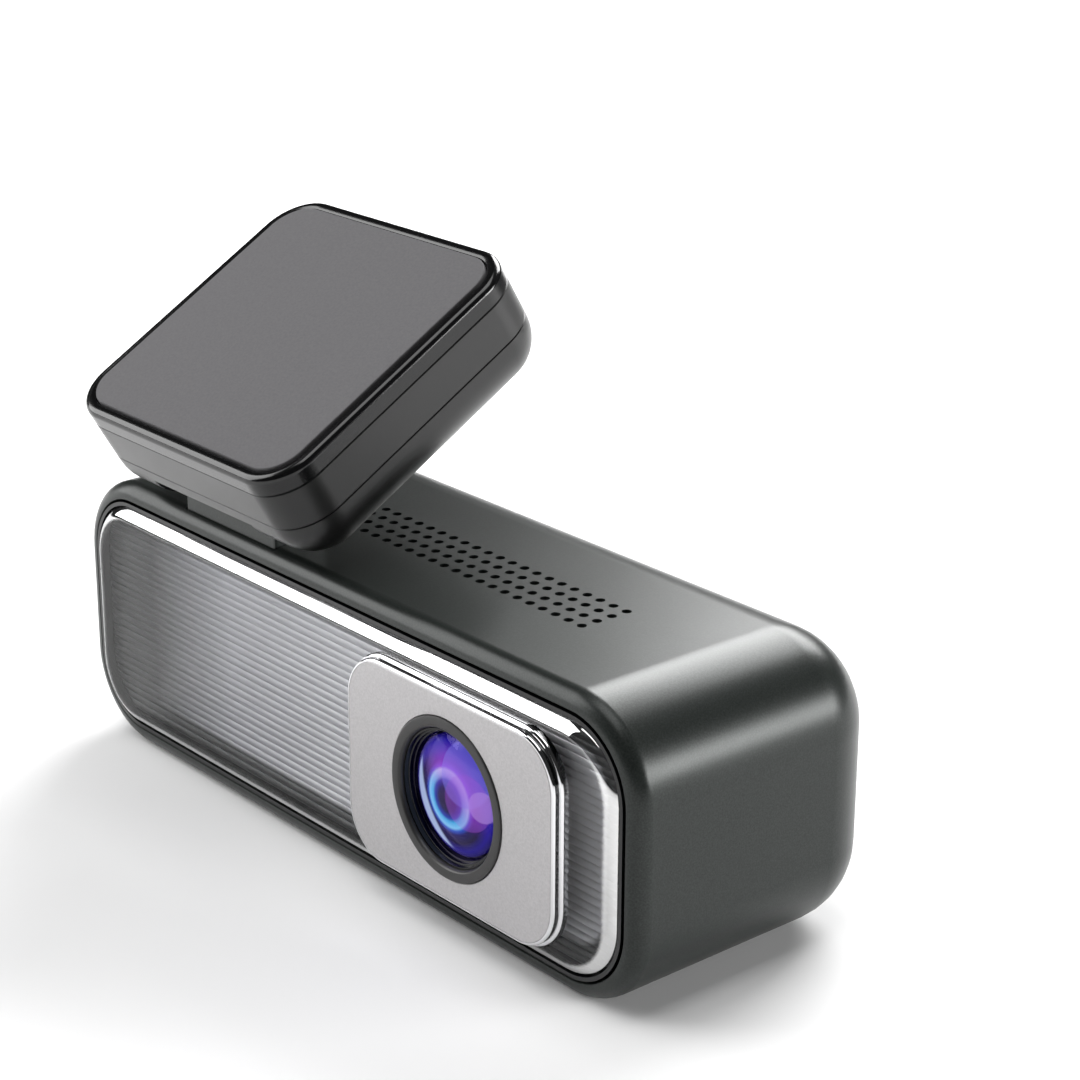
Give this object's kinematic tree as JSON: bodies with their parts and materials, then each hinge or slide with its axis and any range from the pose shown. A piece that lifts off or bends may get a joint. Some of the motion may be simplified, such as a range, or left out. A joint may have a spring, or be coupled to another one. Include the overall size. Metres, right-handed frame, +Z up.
{
  "type": "dash camera",
  "caption": "Long rounded dash camera with a clear reeded front and a raised lens plate, hung from a square adhesive glass mount on a tilting hinge.",
  "frame": {"origin": "centre of the camera body's flat underside", "axes": "+X along the body towards the lens end, -Y the way the lens looks, +Z up"},
  "size_m": [0.1, 0.0429, 0.0643],
  "materials": {
    "shell_plastic": "satin moulded ABS with a fine grain",
    "cover_plastic": "fine matte",
    "mount_plastic": "satin moulded",
    "key_plastic": "satin",
    "record_key_plastic": "satin",
    "clear_window": "polished",
    "panel_metal": "reeded, dark silver",
    "bright_frame": "polished",
    "silver_plate": "fine bead-blasted",
    "ring_black": "satin",
    "lens_glass": "coated",
    "lens_metal": "black anodised",
    "steel": "zinc plated",
    "board_green": "solder resist",
    "chip_black": "moulded package",
    "light_parts": "moulded",
    "flex_film": "polyimide film",
    "soft_grey": "soft pad",
    "speaker_black": "moulded",
    "foam_black": "foam",
    "capacitor_sleeve": "shrink sleeve",
    "adhesive_grey": "flat acrylic foam"
  },
  "bodies": {
    "camera_body": {"shell": "shell_plastic", "rear_cover": "cover_plastic", "light_guide": "clear_window", "front_bezel": "cover_plastic", "front_window": "clear_window", "reeded_panel": "panel_metal", "front_screws": "steel", "lens_frame": "bright_frame", "lens_plate": "silver_plate", "lens_ring": "ring_black", "lens_hood": "cover_plastic", "front_glass": "lens_glass", "second_glass": "lens_glass", "aperture_ring": "ring_black", "rear_glass": "lens_glass", "glass_retainer": "lens_metal", "lens_barrel": "lens_metal", "lens_holder": "cover_plastic", "lens_screws": "steel", "infrared_filter": "lens_glass", "image_sensor": "chip_black", "sensor_board": "board_green", "flex_cable": "flex_film", "flex_connectors": "light_parts", "chassis": "cover_plastic", "board_screws": "steel", "main_board": "board_green", "processor": "chip_black", "memory_chip": "chip_black", "wireless_module": "steel", "thermal_pad": "soft_grey", "heat_sink": "silver_plate", "speaker": "speaker_black", "speaker_cone": "speaker_black", "speaker_gasket": "foam_black", "backup_capacitors": "capacitor_sleeve", "microphone": "light_parts", "status_led": "light_parts", "button_switches": "chip_black", "usb_socket": "steel", "usb_tongue": "chip_black", "rear_camera_jack": "cover_plastic", "card_socket": "steel", "hinge_block": "shell_plastic", "block_screws": "steel"},
    "glass_mount": {"hinge_bolt": "steel", "hinge_nut": "steel", "hinge_washers": "steel", "mount_base": "mount_plastic", "mount_frame": "mount_plastic", "mount_plate": "mount_plastic", "mount_screws": "steel", "adhesive_film": "adhesive_grey"},
    "power_key": {"power_button": "key_plastic"},
    "record_key": {"record_button": "record_key_plastic"},
    "card": {"memory_card": "chip_black"}
  },
  "joints": [
    {"name": "mount_tilt", "type": "hinge", "parent": "camera_body", "child": "glass_mount", "pos_m": [-0.0203, -0.0132, 0.0404], "axis": [1, 0, 0], "range_deg": [-30, 26]},
    {"name": "power_press", "type": "slide", "parent": "camera_body", "child": "power_key", "axis": [0, -1, 0], "range_m": [0, 0.0004], "stiffness_N_per_m": 4000},
    {"name": "record_press", "type": "slide", "parent": "camera_body", "child": "record_key", "axis": [0, -1, 0], "range_m": [0, 0.0004], "stiffness_N_per_m": 4000},
    {"name": "card_pull", "type": "slide", "parent": "camera_body", "child": "card", "axis": [-1, 0, 0], "range_m": [0, 0.012]}
  ]
}
